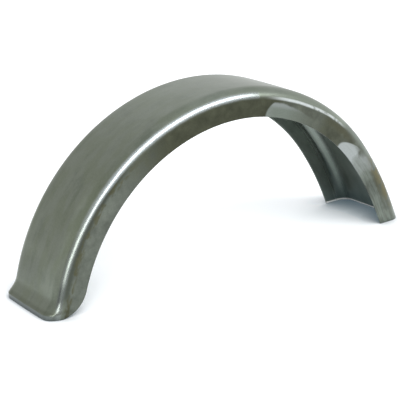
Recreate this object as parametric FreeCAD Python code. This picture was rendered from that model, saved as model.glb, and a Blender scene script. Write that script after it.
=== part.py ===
# Motorcycle fender: one pressed steel channel bent along the wheel,
# with an outward flip at the lip end (-X) and a plain cut end (+X).
# Millimetres and degrees. +X along the wheel, +Y across it, +Z up.
import FreeCAD, Part
import math
import os

Vector = FreeCAD.Vector

# Sheet and cross-section, outside sizes
sheet = 2.5              # thickness of the steel
width = 152.0            # skirt to skirt
skirt_depth = 49.0       # crown top to a skirt's lower edge
corner_radius = 22.5     # crown to skirt
crown_rise = 1.0         # doming of the crown across its width

# Run of the crown, seen from the side, on its outside face
crown_radius = 362.5     # main arc, about the wheel's axle
lip_angle = 74.0         # main arc from the top to the lip end
tail_angle = 55.0        # main arc from the top to the tail
tail_radius = 626.0      # flatter stretch down to the plain end
lip_straight = 11.5      # straight stretch before the flip
flip_radius = 28.0       # outward bend of the lip
flip_angle = 28.0        # turn of that bend
lip_length = 15.7        # straight end of the lip past the bend
lip_rim = 8.4            # edge of the lip, turned straight down
skirt_round = 53.0       # lower corner of each skirt at the lip

across = Vector(0, 1, 0)
axle = Vector(0, 0, 0)   # the origin until the fender is set down
half_width = width / 2


def outward(angle):
    """Direction away from the axle, angle from straight up towards +X."""
    a = math.radians(angle)
    return Vector(math.sin(a), 0, math.cos(a))


# Lip end: both ends stand on the floor, which lies a rim below the lip's tip
along_straight = outward(-lip_angle - 90)
along_lip = outward(-lip_angle - 90 + flip_angle)
flip_start = outward(-lip_angle) * crown_radius + along_straight * lip_straight
flip_centre = flip_start + outward(-lip_angle) * flip_radius
flip_end = flip_centre - outward(-lip_angle + flip_angle) * flip_radius
lip_tip = flip_end + along_lip * lip_length
floor = lip_tip.z - lip_rim

# Plain end: the tail meets the floor at this angle about its own centre
tail_centre = outward(tail_angle) * (crown_radius - tail_radius)
tail_floor_angle = math.degrees(math.acos((floor - tail_centre.z) / tail_radius))

# Both ends are swept past the floor by this much and then cut level
overrun = 2 * sheet


def section_outline(inset):
    """Crown, corners and skirts at the top of the arch, inset from the outside."""
    dome_radius = (half_width ** 2 + crown_rise ** 2) / (2 * crown_rise)
    corner_y = half_width - corner_radius
    corner_z = math.sqrt((dome_radius - corner_radius) ** 2 - corner_y ** 2) - dome_radius
    lean = math.asin(corner_y / (dome_radius - corner_radius))

    def at(y, z):
        return Vector(0, y, crown_radius + z)

    def half(side):
        dome = dome_radius - inset
        corner = corner_radius - inset
        halfway = (math.pi / 2 + lean) / 2
        joint = at(side * dome * math.sin(lean), dome * math.cos(lean) - dome_radius)
        bend = at(side * (corner_y + corner * math.sin(halfway)), corner_z + corner * math.cos(halfway))
        foot = at(side * (half_width - inset), corner_z)
        toe = at(side * (half_width - inset), -skirt_depth)
        return joint, bend, foot, toe

    left_joint, left_bend, left_foot, left_toe = half(-1)
    right_joint, right_bend, right_foot, right_toe = half(1)
    edges = [
        Part.makeLine(left_toe, left_foot),
        Part.Arc(left_foot, left_bend, left_joint).toShape(),
        Part.Arc(left_joint, at(0, -inset), right_joint).toShape(),
        Part.Arc(right_joint, right_bend, right_foot).toShape(),
        Part.makeLine(right_foot, right_toe),
    ]
    return edges, left_toe, right_toe


def section_face():
    outer, outer_left, outer_right = section_outline(0.0)
    inner, inner_left, inner_right = section_outline(sheet)
    toes = [Part.makeLine(outer_right, inner_right), Part.makeLine(inner_left, outer_left)]
    return Part.Face(Part.Wire(Part.__sortEdges__(outer + inner + toes)))


def turned(shape, centre, angle):
    copy = shape.copy()
    copy.rotate(centre, across, angle)
    return copy


def moved(shape, step):
    copy = shape.copy()
    copy.translate(step)
    return copy


def channel():
    """The bent channel, with both ends swept past the floor."""
    top_section = section_face()
    lip_section = turned(top_section, axle, -lip_angle)
    tail_section = turned(top_section, axle, tail_angle)
    flip_section = moved(lip_section, along_straight * lip_straight)
    tip_section = turned(flip_section, flip_centre, flip_angle)

    tail_turn = tail_floor_angle - tail_angle + math.degrees(overrun / tail_radius)
    main_arc = lip_section.revolve(axle, across, lip_angle + tail_angle)
    tail = tail_section.revolve(tail_centre, across, tail_turn)
    straight = lip_section.extrude(along_straight * lip_straight)
    flip = flip_section.revolve(flip_centre, across, flip_angle)
    tip = tip_section.extrude(along_lip * (lip_length + overrun))
    return main_arc.fuse([tail, straight, flip, tip]).removeSplitter()


def below(level, side):
    """Everything under a level, on one side of the axle."""
    reach = crown_radius + tail_radius
    return Part.makeBox(reach, 2 * width, reach, Vector(min(0, side * reach), -width, level - reach))


def with_lip_rim(shell):
    """Cut the lip level at its tip, then turn its edge straight down to the floor."""
    shell = shell.cut(below(lip_tip.z, -1))
    flat = 1e-6
    cut_faces = [face for face in shell.Faces
                 if abs(face.BoundBox.ZMax - lip_tip.z) < flat and face.BoundBox.ZLength < flat]
    rims = [face.extrude(Vector(0, 0, -lip_rim)) for face in cut_faces]
    return shell.fuse(rims).removeSplitter()


def skirt_corner():
    """What lies outside the rounded lower corner of both skirts at the lip."""
    edge_radius = crown_radius - skirt_depth
    centre_z = floor + skirt_round
    centre = Vector(-math.sqrt((edge_radius + skirt_round) ** 2 - centre_z ** 2), 0, centre_z)
    edge_end = centre * (edge_radius / centre.Length)
    floor_end = centre - Vector(0, 0, skirt_round)
    middle = (edge_end + floor_end) * 0.5
    halfway = centre + (middle - centre).normalize() * skirt_round
    corner = Vector(edge_end.x, 0, floor)

    inside = Vector(skirt_depth, 0, 0)
    under = Vector(0, 0, -overrun)
    outline = [
        Part.Arc(edge_end, halfway, floor_end).toShape(),
        Part.makeLine(floor_end, floor_end + under),
        Part.makeLine(floor_end + under, corner + under + inside),
        Part.makeLine(corner + under + inside, edge_end + inside),
        Part.makeLine(edge_end + inside, edge_end),
    ]
    side_face = moved(Part.Face(Part.Wire(outline)), across * -width)
    return side_face.extrude(across * (2 * width))


def fender_shell():
    shell = channel()
    shell = shell.cut(below(floor, 1))
    shell = with_lip_rim(shell)
    shell = shell.cut(skirt_corner()).removeSplitter()
    return set_down(shell.Solids[0])


def set_down(solid):
    """Origin at the middle of the footprint, on the floor."""
    box = solid.optimalBoundingBox(False, False)
    return moved(solid, Vector(-(box.XMin + box.XMax) / 2, 0, -floor))


shape = fender_shell()
box = shape.optimalBoundingBox(False, False)
print("fender_shell valid", shape.isValid(), "closed", shape.isClosed(), "volume", round(shape.Volume, 1))
print("box", [round(v, 2) for v in (box.XMin, box.XMax, box.YMin, box.YMax, box.ZMin, box.ZMax)])
os.makedirs("parts", exist_ok=True)
shape.exportStep("parts/fender_shell.step")
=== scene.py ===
import bmesh
import bpy
import math
from mathutils import Matrix, Vector


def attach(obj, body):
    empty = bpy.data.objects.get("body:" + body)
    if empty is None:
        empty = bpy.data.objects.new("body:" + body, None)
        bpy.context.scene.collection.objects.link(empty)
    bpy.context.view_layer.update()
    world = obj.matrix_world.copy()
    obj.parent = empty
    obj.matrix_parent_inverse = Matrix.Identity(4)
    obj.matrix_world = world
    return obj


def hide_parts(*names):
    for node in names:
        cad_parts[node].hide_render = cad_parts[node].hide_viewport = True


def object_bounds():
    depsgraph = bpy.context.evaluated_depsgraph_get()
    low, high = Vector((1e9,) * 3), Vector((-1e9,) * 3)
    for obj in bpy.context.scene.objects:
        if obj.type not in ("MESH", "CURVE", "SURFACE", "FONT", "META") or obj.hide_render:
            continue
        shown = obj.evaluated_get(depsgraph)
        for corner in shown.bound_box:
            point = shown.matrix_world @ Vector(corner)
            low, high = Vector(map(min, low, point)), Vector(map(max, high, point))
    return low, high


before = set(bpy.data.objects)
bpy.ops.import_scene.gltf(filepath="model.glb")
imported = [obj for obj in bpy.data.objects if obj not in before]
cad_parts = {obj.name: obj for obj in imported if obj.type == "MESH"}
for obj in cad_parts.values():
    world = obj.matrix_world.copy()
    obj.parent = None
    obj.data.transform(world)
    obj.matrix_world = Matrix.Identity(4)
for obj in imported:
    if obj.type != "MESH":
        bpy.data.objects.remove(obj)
cadLow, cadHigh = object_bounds()  # the CAD box, before any piece is added
print("frame loaded", [round(v, 4) for v in (*cadLow, *cadHigh)])

# the fender's own sizes, metres and degrees, outside faces
fender = dict(
    sheet=0.0025, width=0.152, skirtDepth=0.049, cornerRadius=0.0225, crownRise=0.001,
    crownRadius=0.3625, lipAngle=74.0, tailAngle=55.0, tailRadius=0.626,
    lipStraight=0.0115, flipRadius=0.028, flipAngle=28.0, lipLength=0.0157, lipRim=0.0084,
    skirtRound=0.053, edgeRound=0.0005,
    overrun=0.005,  # swept past the floor before the ends are cut
    blank=0.02, cutterDepth=0.03,  # the plane that the section is folded from, and the corner cutter
    cornerSteps=12, crownCuts=23, skirtCuts=5, rowLength=0.007, roundSteps=20, edgeSteps=2,
    sharpEdge=50.0, smoothUnder=40.0,
)

# metres within which two places count as one, and a length that only a skirt's own edges exceed
close = dict(pick=0.001, merge=1e-5, cut=1e-6, mergeCut=5e-5, longEdge=0.02)


def outward(angle):  # away from the axle, angle from straight up towards +X
    a = math.radians(angle)
    return Vector((math.sin(a), 0, math.cos(a)))


def runOf(size):  # centres and directions of the crown's run, in the frame
    alongStraight = outward(-size["lipAngle"] - 90)
    alongLip = outward(-size["lipAngle"] - 90 + size["flipAngle"])
    flipStart = outward(-size["lipAngle"]) * size["crownRadius"] + alongStraight * size["lipStraight"]
    flipCentre = flipStart + outward(-size["lipAngle"]) * size["flipRadius"]
    flipEnd = flipCentre - outward(-size["lipAngle"] + size["flipAngle"]) * size["flipRadius"]
    lipTip = flipEnd + alongLip * size["lipLength"]
    axle = Vector((cadLow.x - lipTip.x, 0, cadHigh.z - size["crownRadius"]))
    tailCentre = axle + outward(size["tailAngle"]) * (size["crownRadius"] - size["tailRadius"])
    tailTurn = math.degrees(math.acos(-tailCentre.z / size["tailRadius"])) - size["tailAngle"]
    return dict(
        axle=axle, alongStraight=alongStraight, alongLip=alongLip,
        flipCentre=axle + flipCentre, tailCentre=tailCentre,
        tailTurn=tailTurn + math.degrees(size["overrun"] / size["tailRadius"]),
    )


run = runOf(fender)


def only(piece):  # this piece alone is selected and active
    bpy.ops.object.select_all(action="DESELECT")
    piece.select_set(True)
    bpy.context.view_layer.objects.active = piece


def edit(piece):  # this piece alone, in edit mode, with nothing picked
    only(piece)
    bpy.ops.object.mode_set(mode="EDIT")
    bpy.ops.mesh.select_all(action="DESELECT")


def pick(piece, mode, test):  # mode is VERT, EDGE or FACE
    bpy.ops.mesh.select_mode(type=mode)
    mesh = bmesh.from_edit_mesh(piece.data)
    for part in {"VERT": mesh.verts, "EDGE": mesh.edges, "FACE": mesh.faces}[mode]:
        part.select_set(test(part))
    mesh.select_flush_mode()
    bmesh.update_edit_mesh(piece.data)


def runsAlong(edge, axis):  # the edge is parallel to one axis of the frame
    way = (edge.verts[1].co - edge.verts[0].co).normalized()
    return abs(way[axis]) > 0.99


def extrudeBy(step):
    bpy.ops.mesh.extrude_region_move(TRANSFORM_OT_translate={"value": step})


def rowsIn(length, size):
    return max(2, round(length / size["rowLength"]))


def spinRows(centre, angle, radius, size):  # carries the picked section round a centre
    turn = math.radians(angle)
    bpy.ops.mesh.spin(steps=rowsIn(abs(turn) * radius, size), angle=turn, center=centre, axis=(0, -1, 0))


def extrudeRows(way, length, size):  # carries the picked section straight on
    rows = rowsIn(length, size)
    for row in range(rows):
        extrudeBy(way * (length / rows))


def applyModifier(piece, kind, **settings):
    modifier = piece.modifiers.new(kind.lower(), kind)
    for name, value in settings.items():
        setattr(modifier, name, value)
    bpy.ops.object.modifier_apply(modifier=modifier.name)


def topSection(size):  # the cross-section as a chain of edges at the top of the arch
    top = cadHigh.z
    middle = run["axle"].x + size["blank"] / 2
    bpy.ops.object.select_all(action="DESELECT")
    bpy.ops.mesh.primitive_plane_add(size=1, location=(middle, 0, top))
    bpy.ops.transform.resize(value=(size["blank"], size["width"], 1))
    bpy.ops.object.transform_apply(location=True, rotation=True, scale=True)
    piece = bpy.context.object
    edit(piece)
    pick(piece, "EDGE", lambda e: runsAlong(e, 0))  # the crown's sides, folded down into skirts
    extrudeBy((0, 0, size["crownRise"] - size["skirtDepth"]))
    pick(piece, "EDGE", lambda e: runsAlong(e, 0) and e.verts[0].co.z > top - close["pick"])
    bpy.ops.mesh.bevel(offset=size["cornerRadius"], segments=size["cornerSteps"], affect="EDGES",
                       clamp_overlap=False)
    pick(piece, "EDGE", lambda e: runsAlong(e, 1)
         and abs(e.verts[0].co.y + e.verts[1].co.y) < close["pick"])
    bpy.ops.mesh.subdivide(number_cuts=size["crownCuts"])
    pick(piece, "EDGE", lambda e: runsAlong(e, 2)
         and abs(e.verts[0].co.z - e.verts[1].co.z) > close["longEdge"])
    bpy.ops.mesh.subdivide(number_cuts=size["skirtCuts"])
    pick(piece, "VERT", lambda v: v.co.x > middle)
    bpy.ops.mesh.delete(type="VERT")
    mesh = bmesh.from_edit_mesh(piece.data)
    half = size["width"] / 2
    domeRadius = (half ** 2 + size["crownRise"] ** 2) / (2 * size["crownRise"])
    for vert in mesh.verts:  # the crown is slightly domed across
        vert.co.z -= domeRadius - math.sqrt(domeRadius ** 2 - vert.co.y ** 2)
    bmesh.update_edit_mesh(piece.data)
    return piece


def sweep(piece, size):  # the section carried along the whole run, past the floor at both ends
    pick(piece, "VERT", lambda v: True)
    spinRows(run["axle"], size["tailAngle"], size["crownRadius"], size)
    spinRows(run["tailCentre"], run["tailTurn"], size["tailRadius"], size)
    pick(piece, "VERT", lambda v: abs(v.co.x - run["axle"].x) < close["merge"])
    spinRows(run["axle"], -size["lipAngle"], size["crownRadius"], size)
    extrudeRows(run["alongStraight"], size["lipStraight"], size)
    spinRows(run["flipCentre"], size["flipAngle"], size["flipRadius"] + size["skirtDepth"], size)
    extrudeRows(run["alongLip"], size["lipLength"] + size["overrun"], size)
    bpy.ops.mesh.select_all(action="SELECT")
    bpy.ops.mesh.remove_doubles(threshold=close["merge"])
    bpy.ops.mesh.normals_make_consistent(inside=False)
    mesh = bmesh.from_edit_mesh(piece.data)
    crownFace = max(mesh.faces, key=lambda f: f.calc_center_median().z)
    if crownFace.normal.z < 0:
        bpy.ops.mesh.flip_normals()
    bpy.ops.object.mode_set(mode="OBJECT")


def levelEnds(piece, size):  # both ends cut level, the lip's edge turned down to the floor
    edit(piece)
    pick(piece, "FACE", lambda f: f.calc_center_median().x > 0)
    bpy.ops.mesh.bisect(plane_co=(0, 0, 0), plane_no=(0, 0, 1), use_fill=True, clear_inner=True,
                        threshold=close["cut"])
    pick(piece, "FACE", lambda f: f.calc_center_median().x < 0)
    bpy.ops.mesh.bisect(plane_co=(0, 0, size["lipRim"]), plane_no=(0, 0, 1), clear_inner=True,
                        threshold=close["cut"])
    pick(piece, "EDGE", lambda e: e.is_boundary)
    extrudeBy((0, 0, -size["lipRim"]))
    bpy.ops.mesh.edge_face_add()
    bpy.ops.object.mode_set(mode="OBJECT")


def roundSkirts(piece, size):  # the skirts' lower corners at the lip, cut round
    rise = size["skirtRound"] - run["axle"].z
    reach = size["crownRadius"] - size["skirtDepth"] + size["skirtRound"]
    centre = run["axle"] + Vector((-math.sqrt(reach ** 2 - rise ** 2), 0, rise))
    deep = size["cutterDepth"]
    bpy.ops.object.select_all(action="DESELECT")
    bpy.ops.mesh.primitive_plane_add(
        size=1, location=centre - Vector((0, 0, size["skirtRound"] + deep / 2)),
        rotation=(0, math.pi / 2, 0))
    cutter = bpy.context.object
    bpy.ops.transform.resize(value=(1, 2 * size["width"], deep))
    bpy.ops.object.transform_apply(location=True, rotation=True, scale=True)
    edit(cutter)
    bpy.ops.mesh.select_all(action="SELECT")
    bpy.ops.mesh.spin(steps=size["roundSteps"], angle=-math.acos(rise / reach), center=centre,
                      axis=(0, -1, 0))
    bpy.ops.mesh.select_all(action="SELECT")
    bpy.ops.mesh.normals_make_consistent(inside=False)
    bpy.ops.object.mode_set(mode="OBJECT")
    only(piece)
    applyModifier(piece, "BOOLEAN", operation="DIFFERENCE", solver="EXACT", object=cutter)
    bpy.data.objects.remove(cutter)


def softenEdges(piece, size):  # the sheared edges lose their sharpness
    edit(piece)
    bpy.ops.mesh.select_all(action="SELECT")
    bpy.ops.mesh.remove_doubles(threshold=close["mergeCut"])
    bpy.ops.mesh.select_all(action="DESELECT")
    bpy.ops.mesh.select_mode(type="EDGE")
    bpy.ops.mesh.edges_select_sharp(sharpness=math.radians(size["sharpEdge"]))
    bpy.ops.mesh.bevel(offset=size["edgeRound"], segments=size["edgeSteps"], affect="EDGES",
                       clamp_overlap=False)
    mesh = bmesh.from_edit_mesh(piece.data)
    for vert in mesh.verts:  # nothing below the floor the fender stands on
        vert.co.z = max(vert.co.z, 0.0)
    bmesh.update_edit_mesh(piece.data)
    bpy.ops.object.mode_set(mode="OBJECT")
    bpy.ops.object.shade_smooth_by_angle(angle=math.radians(size["smoothUnder"]))


def buildShell(size):
    piece = topSection(size)
    piece.name = "fender"
    sweep(piece, size)
    piece.data.materials.append(None)  # one slot for the outside, one for the inside
    piece.data.materials.append(None)
    applyModifier(piece, "SOLIDIFY", thickness=size["sheet"], offset=-1, use_even_offset=True,
                  material_offset=1)
    levelEnds(piece, size)
    roundSkirts(piece, size)
    softenEdges(piece, size)
    return piece


shell = buildShell(fender)
print("shell", len(shell.data.polygons), "faces")


class Wire:  # a socket that takes part in Python maths
    def __init__(self, finish, socket):
        self.finish = finish
        self.socket = socket

    def join(self, operation, first, second=0.0):
        return self.finish.node("ShaderNodeMath", {"operation": operation}, {0: first, 1: second})

    def __add__(self, other):
        return self.join("ADD", self, other)

    def __radd__(self, other):
        return self.join("ADD", other, self)

    def __sub__(self, other):
        return self.join("SUBTRACT", self, other)

    def __rsub__(self, other):
        return self.join("SUBTRACT", other, self)

    def __mul__(self, other):
        return self.join("MULTIPLY", self, other)

    def __rmul__(self, other):
        return self.join("MULTIPLY", other, self)

    def __truediv__(self, other):
        return self.join("DIVIDE", self, other)

    def __abs__(self):
        return self.join("ABSOLUTE", self)

    def root(self):
        return self.join("SQRT", self)

    def most(self, other):
        return self.join("MAXIMUM", self, other)

    def least(self, other):
        return self.join("MINIMUM", self, other)

    def rise(self, low, high):  # 0 below low, 1 above high, eased between
        return self.finish.node("ShaderNodeMapRange", {"interpolation_type": "SMOOTHSTEP"},
                                {"Value": self, "From Min": low, "From Max": high})

    def fall(self, low, high):  # 1 below low, 0 above high, eased between
        return 1 - self.rise(low, high)

    def between(self, low, high, soft):  # 1 inside the span, 0 outside
        return self.rise(low - soft, low + soft) * self.fall(high - soft, high + soft)


class Finish:  # one material or world and its nodes
    def __init__(self, owner):
        owner.use_nodes = True
        self.tree = owner.node_tree
        self.tree.nodes.clear()

    def node(self, kind, settings=None, values=None, out=0):
        made = self.tree.nodes.new(kind)
        for name, value in (settings or {}).items():
            setattr(made, name, value)
        for name, value in (values or {}).items():
            if isinstance(value, Wire):
                self.tree.links.new(value.socket, made.inputs[name])
            else:
                made.inputs[name].default_value = value
        return Wire(self, made.outputs[out]) if made.outputs else made

    def noise(self, x, y, z, detail):
        spot = self.node("ShaderNodeCombineXYZ", {}, {0: x, 1: y, 2: z})
        return self.node("ShaderNodeTexNoise", {}, {"Vector": spot, "Scale": 1.0, "Detail": detail})

    def blend(self, factor, first, second):
        return self.node("ShaderNodeMix", {"data_type": "RGBA"}, {0: factor, 6: first, 7: second}, out=2)

    def shade(self, colour, amount):  # a colour made lighter or darker by a number
        return self.node("ShaderNodeVectorMath", {"operation": "SCALE"}, {0: colour, "Scale": amount})


# noises drawn out along the arch: scale per degree along it, per metre across and down, detail
drawnOut = dict(
    streaks=(0.06, 75.0, 75.0, 2.0), clouds=(0.11, 28.0, 40.0, 3.0), dents=(0.22, 20.0, 20.0, 1.0),
    spots=(0.40, 150.0, 150.0, 3.0), specks=(0.9, 220.0, 220.0, 3.0), innerClouds=(0.12, 40.0, 40.0, 3.0),
)

# even noises: scale per metre, detail
allRound = dict(grain=(420.0, 2.0), mottle=(60.0, 4.0))


class SheetFinish(Finish):  # a finish that knows where a point lies on the bent sheet
    def __init__(self, owner):
        super().__init__(owner)
        coords = self.node("ShaderNodeTexCoord", {}, {}, out="Object")
        parts = self.node("ShaderNodeSeparateXYZ", {}, {0: coords}).socket.node.outputs
        self.x, self.y, self.z = (Wire(self, part) for part in parts)
        ahead = self.x - run["axle"].x
        above = self.z - run["axle"].z
        fromAxle = (ahead * ahead + above * above).root()
        tailAhead = self.x - run["tailCentre"].x
        tailAbove = self.z - run["tailCentre"].z
        fromTail = (tailAhead * tailAhead + tailAbove * tailAbove).root()
        self.angle = ahead.join("ARCTAN2", ahead, above) * math.degrees(1)  # from the top towards +X
        onTail = self.angle.join("GREATER_THAN", self.angle, fender["tailAngle"])
        crownDepth = (fender["crownRadius"] - fromAxle) * (1 - onTail)
        tailDepth = (fender["tailRadius"] - fromTail) * onTail
        self.depth = (crownDepth + tailDepth).most(0.0)  # metres below the crown
        self.girth = abs(self.y) + self.depth  # metres round the section from its middle
        self.near = self.y.join("LESS_THAN", self.y, 0.0)  # 1 on the side of the ground patches

    def drawn(self, name):
        along, across, down, detail = drawnOut[name]
        return self.noise(self.angle * along, self.y * across, self.depth * down, detail)

    def even(self, name):
        scale, detail = allRound[name]
        return self.noise(self.x * scale, self.y * scale, self.z * scale, detail)

    def addWear(self):  # the noises that several marks share
        self.streaks = self.drawn("streaks")
        self.clouds = self.drawn("clouds")
        self.grain = self.even("grain")
        self.mottle = self.even("mottle")
        self.ragged = self.mottle - 0.5

    def uneven(self, place, amount):  # a place whose edges wander by about this much
        return place + self.ragged * amount


# In the marks below, a pair is where a change starts and ends, and a third number is the softness
# of a span's two ends: degrees from the top along the arch, metres round it, or levels of a noise.

crown = dict(
    light=(0.167, 0.188, 0.152, 1), dark=(0.125, 0.145, 0.114, 1), streaky=(0.28, 0.56),
    moss=(0.140, 0.162, 0.112, 1), mossNoise=(0.10, 42.0, 3.0), mossShift=7.0, mossy=(0.42, 0.62),
    mossShare=0.5, mossThins=(-25.0, 10.0), mossLoss=0.6,
    level=0.88,  # brightness at the lip, then the painted sheen gained and lost on the way to the plain end
    paintedSheen=[((-38.0, -6.0), 0.19), ((0.0, 30.0), 0.16), ((33.0, 40.0), 0.36), ((40.5, 45.0), -0.62)],
    paintedBluishSheen=(0.275, 0.320, 0.305, 1), bluishSheenSpan=(-45.0, 0.0), bluishSheenShare=0.21,
    bendStart=(-77.0, -74.5), bendEnd=(-71.0, -66.0), bendAcross=(-0.045, 0.02),
    bendDark=0.28, bendLight=0.06,
)


def crownColour(on):  # darker along the streaks, with a painted sheen lighter and bluish towards the top and the plain end, and painted shade on the fold above the lip
    streaky = on.streaks * 0.5 + on.clouds * 0.5 + on.ragged * 0.3
    colour = on.blend(streaky.rise(*crown["streaky"]), crown["dark"], crown["light"])
    along, around, detail = crown["mossNoise"]
    moss = on.noise(on.angle * along + crown["mossShift"], on.y * around, on.depth * around, detail)
    moss = moss.rise(*crown["mossy"]) * crown["mossShare"]
    thinned = 1 - on.angle.rise(*crown["mossThins"]) * crown["mossLoss"]
    colour = on.blend(moss * thinned, colour, crown["moss"])
    # painted sheen: lighter and bluish over the top and towards the plain end, taken back near the very
    # end
    level = crown["level"]
    for span, gain in crown["paintedSheen"]:
        level = level + on.angle.rise(*span) * gain
    colour = on.shade(colour, level)
    colour = on.blend(on.angle.rise(*crown["bluishSheenSpan"]) * crown["bluishSheenShare"], colour, crown["paintedBluishSheen"])
    # painted shade on the fold above the lip: darker towards the far side, a little lighter on the near
    # side
    bend = on.angle.rise(*crown["bendStart"]) * on.angle.fall(*crown["bendEnd"])
    paintedShade = on.y.rise(*crown["bendAcross"]) * crown["bendDark"] - crown["bendLight"]
    return on.shade(colour, 1 - bend * paintedShade)


skirts = dict(
    grey=(0.114, 0.126, 0.106, 1), start=(0.084, 0.098), startRagged=0.006, mottling=1.1,
    brown=(0.050, 0.053, 0.034, 1), brownStart=(-46.0, -22.0), startWander=22.0,
    brownEnd=(40.0, 58.0), endWander=16.0, brownShare=0.92,
    thins=(26.0, 38.0), thinLoss=0.16, rubbed=(16.5, 34.0, 2.5), rubbedWander=6.0, rubbedLoss=0.55,
    lipSide=(-44.0, -28.0), lipWander=10.0,
    shadow=(0.048, 0.055, 0.046, 1), shadowBand=(0.0815, 0.0945, 0.004), shadowFoot=(0.012, 0.040),
    shadowShare=0.80,
    olive=(0.074, 0.073, 0.040, 1), spotty=(0.43, 0.60), spotBand=(0.0900, 0.1010, 0.003), spotShare=0.75,
)


def skirtColour(on, colour):  # grey at the lip and brown from the shoulder over the top
    below = on.uneven(on.girth, skirts["startRagged"]).rise(*skirts["start"])
    colour = on.blend(below, colour, skirts["grey"])
    browning = on.uneven(on.angle, skirts["startWander"]).rise(*skirts["brownStart"])
    browning = browning * on.uneven(on.angle, skirts["endWander"]).fall(*skirts["brownEnd"])
    rubbed = on.uneven(on.angle, skirts["rubbedWander"]).between(*skirts["rubbed"])
    browning = browning * (1 - on.angle.rise(*skirts["thins"]) * skirts["thinLoss"]
                           - rubbed * skirts["rubbedLoss"])
    browned = below * browning
    colour = on.blend(browned * skirts["brownShare"], colour, skirts["brown"])
    colour = on.shade(colour, 1 + below * on.ragged * skirts["mottling"])
    lipSide = on.uneven(on.angle, skirts["lipWander"]).fall(*skirts["lipSide"])
    # painted shade: a dark line along the crease's lower side above the lip
    shaded = lipSide * on.girth.between(*skirts["shadowBand"]) * on.z.rise(*skirts["shadowFoot"])
    colour = on.blend(shaded * skirts["shadowShare"], colour, skirts["shadow"])
    spots = on.drawn("spots").rise(*skirts["spotty"]) * lipSide * on.girth.between(*skirts["spotBand"])
    return on.blend(spots * skirts["spotShare"], colour, skirts["olive"]), browned


# a patch's sharp side: its angle low on the skirt, its lean on the way up, and the depths between
patches = dict(
    ground=(0.152, 0.174, 0.150, 1), groundDark=(0.098, 0.109, 0.092, 1),
    groundPale=(0.235, 0.255, 0.248, 1), bright=(0.31, 0.335, 0.328, 1),
    firstSide=(10.8, 2.2, 0.026, 0.048), firstEdge=(-0.3, 0.5), firstTop=(0.0225, 0.0265),
    firstTopRagged=0.004, firstSlopeFrom=17.0, firstSlope=0.0009, firstEnd=(15.0, 33.0), firstWander=8.0,
    firstShare=0.95, paleTop=(0.027, 0.036), paleSide=(11.6, 14.5), paleSideShare=0.3, paleShare=0.8,
    secondSide=(44.0, 4.1, 0.027, 0.046), secondEdge=(-0.35, 0.55), secondTop=(0.016, 0.027),
    secondTopRagged=0.012, secondShare=0.9, strokes=(0.16, 270.0, 2.0), stroked=(0.36, 0.64),
    darkEnd=(63.0, 69.0, 3.0), darkLoss=0.30, lightEnd=(74.5, 77.5), lightGain=0.4,
    brightEnd=(51.6, 54.0), brightWander=6.0, brightFade=(55.0, 62.0), fadeWander=10.0,
    brightStreaks=(0.20, 0.55),
    stain=(52.4, 54.2, 1.0), stainWander=4.0, stainBand=(0.018, 0.030, 0.006), stainShare=0.6,
    gleam=(55.2, 61.0, 0.9), gleamWander=5.0, gleamBand=(0.0170, 0.0270, 0.003), gleamRagged=0.006,
    gleamShare=0.75,
)


def pastSide(on, start, lean, low, high):  # degrees past a patch's sharp curved side
    climb = (high - on.depth) / (high - low)
    return on.angle - (climb.most(0.0) * climb * lean + start)


def firstPatch(on, colour):  # fades out along the skirt
    top = on.uneven(on.depth, patches["firstTopRagged"])
    top = top - (on.angle - patches["firstSlopeFrom"]).most(0.0) * patches["firstSlope"]
    mask = on.near * pastSide(on, *patches["firstSide"]).rise(*patches["firstEdge"])
    mask = mask * top.rise(*patches["firstTop"])
    mask = mask * on.uneven(on.angle, patches["firstWander"]).fall(*patches["firstEnd"])
    paleSide = on.angle.fall(*patches["paleSide"]) * patches["paleSideShare"]
    pale = on.depth.fall(*patches["paleTop"]).most(paleSide) * patches["paleShare"]
    ground = on.blend(pale, patches["ground"], patches["groundPale"])
    return on.blend(mask * patches["firstShare"], colour, ground)


def secondPatch(on, colour):  # bright where it starts, then stained, and worn as far as the plain end
    mask = on.near * pastSide(on, *patches["secondSide"]).rise(*patches["secondEdge"])
    mask = mask * on.uneven(on.depth, patches["secondTopRagged"]).rise(*patches["secondTop"])
    along, down, detail = patches["strokes"]
    strokes = on.noise(on.angle * along, on.depth * down, 0.0, detail) * 0.7 + on.mottle * 0.3
    worn = on.blend(strokes.rise(*patches["stroked"]), patches["groundDark"], patches["ground"])
    worn = on.shade(worn, 1 - on.angle.between(*patches["darkEnd"]) * patches["darkLoss"]
                    + on.angle.rise(*patches["lightEnd"]) * patches["lightGain"])
    colour = on.blend(mask * patches["secondShare"], colour, worn)
    dulled = (on.uneven(on.angle, patches["brightWander"]).rise(*patches["brightEnd"]) * 0.5
              + on.uneven(on.angle, patches["fadeWander"]).rise(*patches["brightFade"]) * 0.5)
    bright = mask * (1 - dulled) * on.streaks.rise(*patches["brightStreaks"])
    colour = on.blend(bright, colour, patches["bright"])
    stain = on.near * on.uneven(on.angle, patches["stainWander"]).between(*patches["stain"])
    stain = stain * on.depth.between(*patches["stainBand"])
    colour = on.blend(stain * patches["stainShare"], colour, skirts["brown"])
    gleam = on.near * on.uneven(on.angle, patches["gleamWander"]).between(*patches["gleam"])
    gleam = gleam * on.uneven(on.depth, patches["gleamRagged"]).between(*patches["gleamBand"])
    return on.blend(gleam * patches["gleamShare"], colour, patches["groundPale"])


outerCorner = dict(
    dark=(60.0, 76.0, 4.0), darkBand=(0.080, 0.094, 0.004), darkLoss=0.36,
    wash=(0.072, 0.073, 0.048, 1), washBand=(0.092, 0.105, 0.004), washRagged=0.012,
    washFirst=(36.0, 47.0, 4.0), washSecond=(61.0, 73.0, 4.0), washMottle=(0.3, 0.6), washShare=0.85,
    rust=(0.150, 0.136, 0.074, 1), rustStart=(54.0, 63.0), rustEnd=(73.0, 78.0),
    rustBand=(0.080, 0.098, 0.006), rustRagged=0.02, rustMottle=(0.38, 0.56), rustShare=0.85,
)


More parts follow.
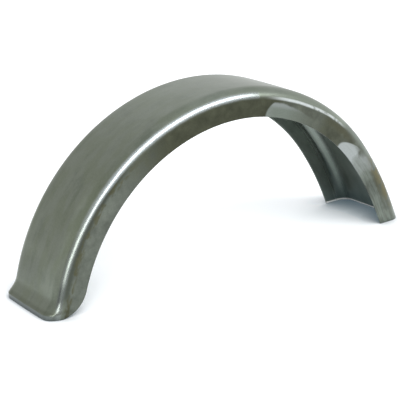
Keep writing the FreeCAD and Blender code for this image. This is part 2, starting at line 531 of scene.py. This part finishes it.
def cornerColour(on, colour):  # rust and old stain along the outer corner towards the plain end
    dark = on.near * on.angle.between(*outerCorner["dark"]) * on.girth.between(*outerCorner["darkBand"])
    colour = on.shade(colour, 1 - dark * outerCorner["darkLoss"])
    wash = on.near * on.uneven(on.girth, outerCorner["washRagged"]).between(*outerCorner["washBand"])
    wash = wash * (on.angle.between(*outerCorner["washFirst"])
                   + on.angle.between(*outerCorner["washSecond"]))
    wash = wash * (on.mottle.rise(*outerCorner["washMottle"]) * 0.5 + 0.5)
    colour = on.blend(wash * outerCorner["washShare"], colour, outerCorner["wash"])
    rusting = on.near * on.angle.rise(*outerCorner["rustStart"]) * on.angle.fall(*outerCorner["rustEnd"])
    rusting = rusting * on.uneven(on.girth, outerCorner["rustRagged"]).between(*outerCorner["rustBand"])
    rusting = rusting * on.mottle.rise(*outerCorner["rustMottle"])
    return on.blend(rusting * outerCorner["rustShare"], colour, outerCorner["rust"]), rusting


crease = dict(
    rubbedAndPaintedHighlight=(0.297, 0.325, 0.338, 1), ragged=0.004, lipGirth=0.0775, climb=(-72.0, -6.0), climbBy=0.0075,
    band=(0.003, 0.0100), end=7.9, endSoft=0.35, endWander=1.5,
    gleam=0.35, gleamStart=(-62.0, -38.0), gleamGain=0.55, gleamEnd=(0.0, 7.5), gleamLoss=0.40,
    paintedDimHighlight=(0.60, 0.645, 0.64, 1), dullGirth=0.0918, dullRagged=0.4, dullClimb=(24.0, 38.0),
    dullClimbBy=0.0033, dullBand=(0.0010, 0.0047), dullStart=(2.0, 12.0), dullEnd=(37.0, 44.0),
    speckled=(0.50, 0.62), speckStart=(20.0, 30.0), speckLoss=0.6,
    paintedGlow=(0.042, 0.070, 0.008), paintedGlowRun=(-68.0, -48.0, 5.0), paintedGlowGain=0.22,
    paintedThinning=(0.0690, 0.0752, 0.002), thinEnd=(-64.0, -56.0), thinLoss=0.24,
    paintedGap=(0.0720, 0.0840, 0.003), paintedGapRun=(-77.3, -72.0, 1.5), paintedGapShade=0.42,
)


def creaseColour(on, colour):  # rubbed bright as far as the first patch, partly a painted highlight; past it a pale painted highlight, fainter and speckled
    wave = on.ragged * crease["ragged"]
    # the rubbed band: real polish, with a paler colour that is partly a painted highlight, strongest along
    # the middle of the arch and fading towards either end
    middle = on.angle.rise(*crease["climb"]) * crease["climbBy"] + crease["lipGirth"]
    rubbed = abs(on.girth + wave - middle).fall(*crease["band"])
    rubbed = rubbed * on.uneven(on.angle, crease["endWander"]).fall(
        crease["end"] - crease["endSoft"], crease["end"] + crease["endSoft"])
    gleam = (on.angle.rise(*crease["gleamStart"]) * crease["gleamGain"] + crease["gleam"]
             - on.angle.rise(*crease["gleamEnd"]) * crease["gleamLoss"])
    colour = on.blend(rubbed * gleam, colour, crease["rubbedAndPaintedHighlight"])

    # past the first patch, a pale painted highlight along the crease, broken by rust specks
    dullOff = on.girth + wave * crease["dullRagged"] - crease["dullGirth"]
    dullOff = dullOff + on.angle.rise(*crease["dullClimb"]) * crease["dullClimbBy"]
    paintedDimHighlight = abs(dullOff).fall(*crease["dullBand"])
    paintedDimHighlight = paintedDimHighlight * (on.angle - crease["end"]).rise(*crease["dullStart"])
    paintedDimHighlight = paintedDimHighlight * on.angle.fall(*crease["dullEnd"])
    specks = on.drawn("specks").rise(*crease["speckled"])
    paintedDimHighlight = paintedDimHighlight * (1 - specks * on.angle.rise(*crease["speckStart"]) * crease["speckLoss"])
    colour = on.blend(paintedDimHighlight, colour, crease["paintedDimHighlight"])

    # painted glow next to the crease above the lip, and painted shade where the bright line thins out and
    # breaks above the lip
    paintedGlow = on.near * on.girth.between(*crease["paintedGlow"]) * on.angle.between(*crease["paintedGlowRun"])
    paintedThinning = on.angle.fall(*crease["thinEnd"]) * on.girth.between(*crease["paintedThinning"])
    paintedGap = on.angle.between(*crease["paintedGapRun"]) * on.girth.between(*crease["paintedGap"])
    colour = on.shade(colour, 1 + paintedGlow * crease["paintedGlowGain"] - paintedThinning * crease["thinLoss"]
                      - paintedGap * crease["paintedGapShade"])
    return colour, rubbed, paintedDimHighlight


lipEdge = dict(
    start=(-0.335, -0.325),
    rimShadeTop=0.0135, rimShadeSoft=0.002, rimShadeRagged=0.003, rimShadeShare=0.3,
    rim=(0.135, 0.152, 0.152, 1), rimUnder=0.0012, rimOver=0.0004, rimCorner=(0.064, 0.0758), rimShare=0.8,
)


def lipColour(on, colour):  # edge of the lip, rubbed paler, with a painted shade line above it
    lip = on.x.fall(*lipEdge["start"])
    rimTop = fender["lipRim"]
    # painted shade: a darker brownish line just above the rim
    paintedRimShade = lip * on.uneven(on.z, lipEdge["rimShadeRagged"]).between(
        rimTop, lipEdge["rimShadeTop"], lipEdge["rimShadeSoft"])
    colour = on.blend(paintedRimShade * lipEdge["rimShadeShare"], colour, skirts["brown"])
    rim = lip * on.z.fall(rimTop - lipEdge["rimUnder"], rimTop + lipEdge["rimOver"])
    rim = rim * abs(on.y).fall(*lipEdge["rimCorner"])
    return on.blend(rim * lipEdge["rimShare"], colour, lipEdge["rim"])


# roughness, grain and relief of the outside
surface = dict(
    rough=0.34, streakRough=0.10, brownRough=0.08, rustRough=0.2, polished=0.245, dullPolish=0.6,
    grainDark=0.86, grainGain=0.28, dentHeight=1.0, streakHeight=0.03, grainHeight=0.012,
    bumpStrength=0.35, bumpDistance=0.0012,
)


def outerSteel():
    owner = bpy.data.materials.new("outerSteel")
    on = SheetFinish(owner)
    on.addWear()
    colour = crownColour(on)
    colour, browned = skirtColour(on, colour)
    colour = firstPatch(on, colour)
    colour = secondPatch(on, colour)
    colour, rusting = cornerColour(on, colour)
    colour, rubbed, paintedDimHighlight = creaseColour(on, colour)
    colour = lipColour(on, colour)
    colour = on.shade(colour, surface["grainDark"] + on.grain * surface["grainGain"])

    rough = surface["rough"] + (on.streaks - 0.5) * surface["streakRough"]
    rough = rough + browned * surface["brownRough"] + rusting * surface["rustRough"]
    polish = rubbed.most(paintedDimHighlight * surface["dullPolish"])
    rough = rough * (1 - polish) + polish * surface["polished"]
    relief = (on.drawn("dents") * surface["dentHeight"] + on.streaks * surface["streakHeight"]
              + on.grain * surface["grainHeight"])
    bumps = on.node("ShaderNodeBump", {}, {
        "Strength": surface["bumpStrength"], "Distance": surface["bumpDistance"], "Height": relief})
    shader = on.node("ShaderNodeBsdfPrincipled", {}, {
        "Base Color": colour, "Metallic": 1.0, "Roughness": rough, "Normal": bumps})
    on.node("ShaderNodeOutputMaterial", {}, {"Surface": shader})
    return owner


inside = dict(
    dark=(0.200, 0.235, 0.207, 1), light=(0.245, 0.280, 0.250, 1), cloudy=(0.3, 0.7),
    burrAndHighlight=(0.95, 0.97, 0.97, 1), burrEnd=(0.30, 0.31), burrTop=(0.0028, 0.0038),
    metal=0.85, rough=0.30, cloudRough=0.1, corner=(0.070, 0.100, 0.006), cornerSmooth=0.14,
    crownPaintedShade=0.72, skirtStart=(0.064, 0.078), skirtGain=0.28,
    lowEnd=(0.010, 0.060), lowCrown=(0.060, 0.072), lowPaintedLight=0.28,
    bend=(0.060, 0.094, 0.003), stripe=(0.0715, 0.0835, 0.003), bendLoss=0.12, bendRise=(0.0, 0.070),
    bendMore=0.22,
)


def innerSteel():  # plain and clouded, with painted shade on the crown's inside and in the corners either side of a reflected stripe, painted light low down, and a pale line along the cut end, bare edge partly painted as a highlight
    owner = bpy.data.materials.new("innerSteel")
    on = SheetFinish(owner)
    clouds = on.drawn("innerClouds")
    colour = on.blend(clouds.rise(*inside["cloudy"]), inside["dark"], inside["light"])
    # pale line along the cut end: bare edge, partly a painted highlight, made matt white so it shows lit
    burrAndHighlight = on.x.rise(*inside["burrEnd"]) * on.z.fall(*inside["burrTop"])
    colour = on.blend(burrAndHighlight, colour, inside["burrAndHighlight"])
    # painted shade darkens the crown's inside, with painted light low down near the floor
    low = on.z.fall(*inside["lowEnd"]) * on.girth.fall(*inside["lowCrown"])
    level = inside["crownPaintedShade"] + on.girth.rise(*inside["skirtStart"]) * inside["skirtGain"]
    colour = on.shade(colour, level + low * inside["lowPaintedLight"])
    # painted shade in the inside corners, leaving the reflected stripe
    bend = on.girth.between(*inside["bend"]) * (1 - on.girth.between(*inside["stripe"]))
    loss = inside["bendLoss"] + on.z.rise(*inside["bendRise"]) * inside["bendMore"]
    colour = on.shade(colour, 1 - bend * loss)
    corner = on.girth.between(*inside["corner"])
    rough = inside["rough"] + clouds * inside["cloudRough"] - corner * inside["cornerSmooth"]
    shader = on.node("ShaderNodeBsdfPrincipled", {}, {
        "Base Color": colour, "Metallic": inside["metal"] - burrAndHighlight * inside["metal"], "Roughness": rough})
    on.node("ShaderNodeOutputMaterial", {}, {"Surface": shader})
    return owner


shell.data.materials[0] = outerSteel()
shell.data.materials[1] = innerSteel()
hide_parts("fender_shell")
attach(shell, "root")
print("steel on the shell")

# pale floor and white surroundings
studio = dict(
    floorSize=30.0, floorDrop=0.0003, floorTone=(1.0, 1.0, 1.0, 1), floorLift=(0.04, 0.07, 0.095, 1),
    contact=0.06, contactSamples=16, skyTone=(1, 1, 1, 1), skyForShade=0.9,
    strips=[  # two long lamps in front, end to end, that draw the bright line along the crease
        dict(name="topStrip", ends=((-0.62, -1.82, 1.57), (1.62, -1.32, 1.46)), wide=0.58, power=26.0),
        dict(name="lipStrip", ends=((-0.58, -1.84, 1.58), (-2.18, -1.50, 0.30)), wide=0.38, power=17.5),
    ],
    stripsFace=(0, 0, 0.15), fillWay=(-0.1, -0.80, 0.58), fillPower=2.8, fillSpread=64.0,
)


def seenDirectly(finish):  # 1 for what the camera, metal and glass see, 0 for light that falls on things
    rays = finish.node("ShaderNodeLightPath").socket.node.outputs
    camera, glossy, glass = (
        Wire(finish, rays[name]) for name in ("Is Camera Ray", "Is Glossy Ray", "Is Transmission Ray"))
    return (camera + glossy + glass).least(1.0)


def paleFloor():
    bpy.ops.object.select_all(action="DESELECT")
    bpy.ops.mesh.primitive_plane_add(size=studio["floorSize"], location=(0, 0, -studio["floorDrop"]))
    floor = bpy.context.object
    floor.name = "floor"
    owner = bpy.data.materials.new("paleFloor")
    finish = Finish(owner)
    contact = finish.node("ShaderNodeAmbientOcclusion", {"samples": studio["contactSamples"]}, {
        "Color": studio["floorTone"], "Distance": studio["contact"]})
    matt = finish.node("ShaderNodeBsdfDiffuse", {}, {"Color": contact})
    lift = finish.node("ShaderNodeEmission", {}, {
        "Color": studio["floorLift"], "Strength": seenDirectly(finish)})
    both = finish.node("ShaderNodeAddShader", {}, {0: matt, 1: lift})
    finish.node("ShaderNodeOutputMaterial", {}, {"Surface": both})
    floor.data.materials.append(owner)


def whiteWorld():
    world = bpy.data.worlds.new("white")
    bpy.context.scene.world = world
    finish = Finish(world)
    seen = seenDirectly(finish)
    strength = seen + (1 - seen) * studio["skyForShade"]
    sky = finish.node("ShaderNodeBackground", {}, {"Color": studio["skyTone"], "Strength": strength})
    finish.node("ShaderNodeOutputWorld", {}, {"Surface": sky})


def addToScene(name, data):
    thing = bpy.data.objects.new(name, data)
    bpy.context.scene.collection.objects.link(thing)
    return thing


def setPlace(thing, right, up, back, middle):  # a lamp or camera looks away from its back
    place = Matrix((right, up, back)).transposed().to_4x4()
    place.translation = middle
    thing.matrix_world = place


def stripLamp(name, ends, wide, power):
    first, last = (Vector(end) for end in ends)
    middle = (first + last) / 2
    length = (last - first).length
    light = bpy.data.lights.new(name, "AREA")
    light.shape = "RECTANGLE"
    light.size = length
    light.size_y = wide
    light.energy = power
    lamp = addToScene(name, light)
    way = (last - first) / length
    back = middle - Vector(studio["stripsFace"])
    back = (back - way * back.dot(way)).normalized()
    setPlace(lamp, way, back.cross(way), back, middle)
    lamp.visible_diffuse = False  # a shine on the metal, no second shadow on the floor


def softFill(way):  # a wide sun for the floor, which the metal doesn't mirror
    light = bpy.data.lights.new("fill", "SUN")
    light.energy = studio["fillPower"]
    light.angle = math.radians(studio["fillSpread"])
    lamp = addToScene("fill", light)
    lamp.rotation_mode = "QUATERNION"
    lamp.rotation_quaternion = Vector(way).to_track_quat("Z", "Y")
    lamp.visible_glossy = False


paleFloor()
whiteWorld()
softFill(studio["fillWay"])
for strip in studio["strips"]:
    stripLamp(**strip)
print("floor, surroundings and lamps")

# the photograph's view, metres, degrees and millimetres of lens
view = dict(
    azimuth=-35.042, elevation=18.948, roll=-1.938, distance=2.2085, target=(-0.02758, 0, 0.10442),
    lens=117.0, sensor=36.0,
)


def placeCamera():
    azimuth, elevation, roll = (math.radians(view[name]) for name in ("azimuth", "elevation", "roll"))
    back = Vector((math.sin(azimuth) * math.cos(elevation), -math.cos(azimuth) * math.cos(elevation),
                   math.sin(elevation)))
    level = Vector((math.cos(azimuth), math.sin(azimuth), 0))
    upright = back.cross(level)
    right = level * math.cos(roll) + upright * math.sin(roll)
    up = upright * math.cos(roll) - level * math.sin(roll)
    data = bpy.data.cameras.new("camera")
    data.lens = view["lens"]
    data.sensor_width = view["sensor"]
    camera = addToScene("camera", data)
    setPlace(camera, right, up, back, Vector(view["target"]) + back * view["distance"])
    bpy.context.scene.camera = camera


placeCamera()
bpy.context.scene.view_settings.view_transform = "Standard"
print("camera placed")
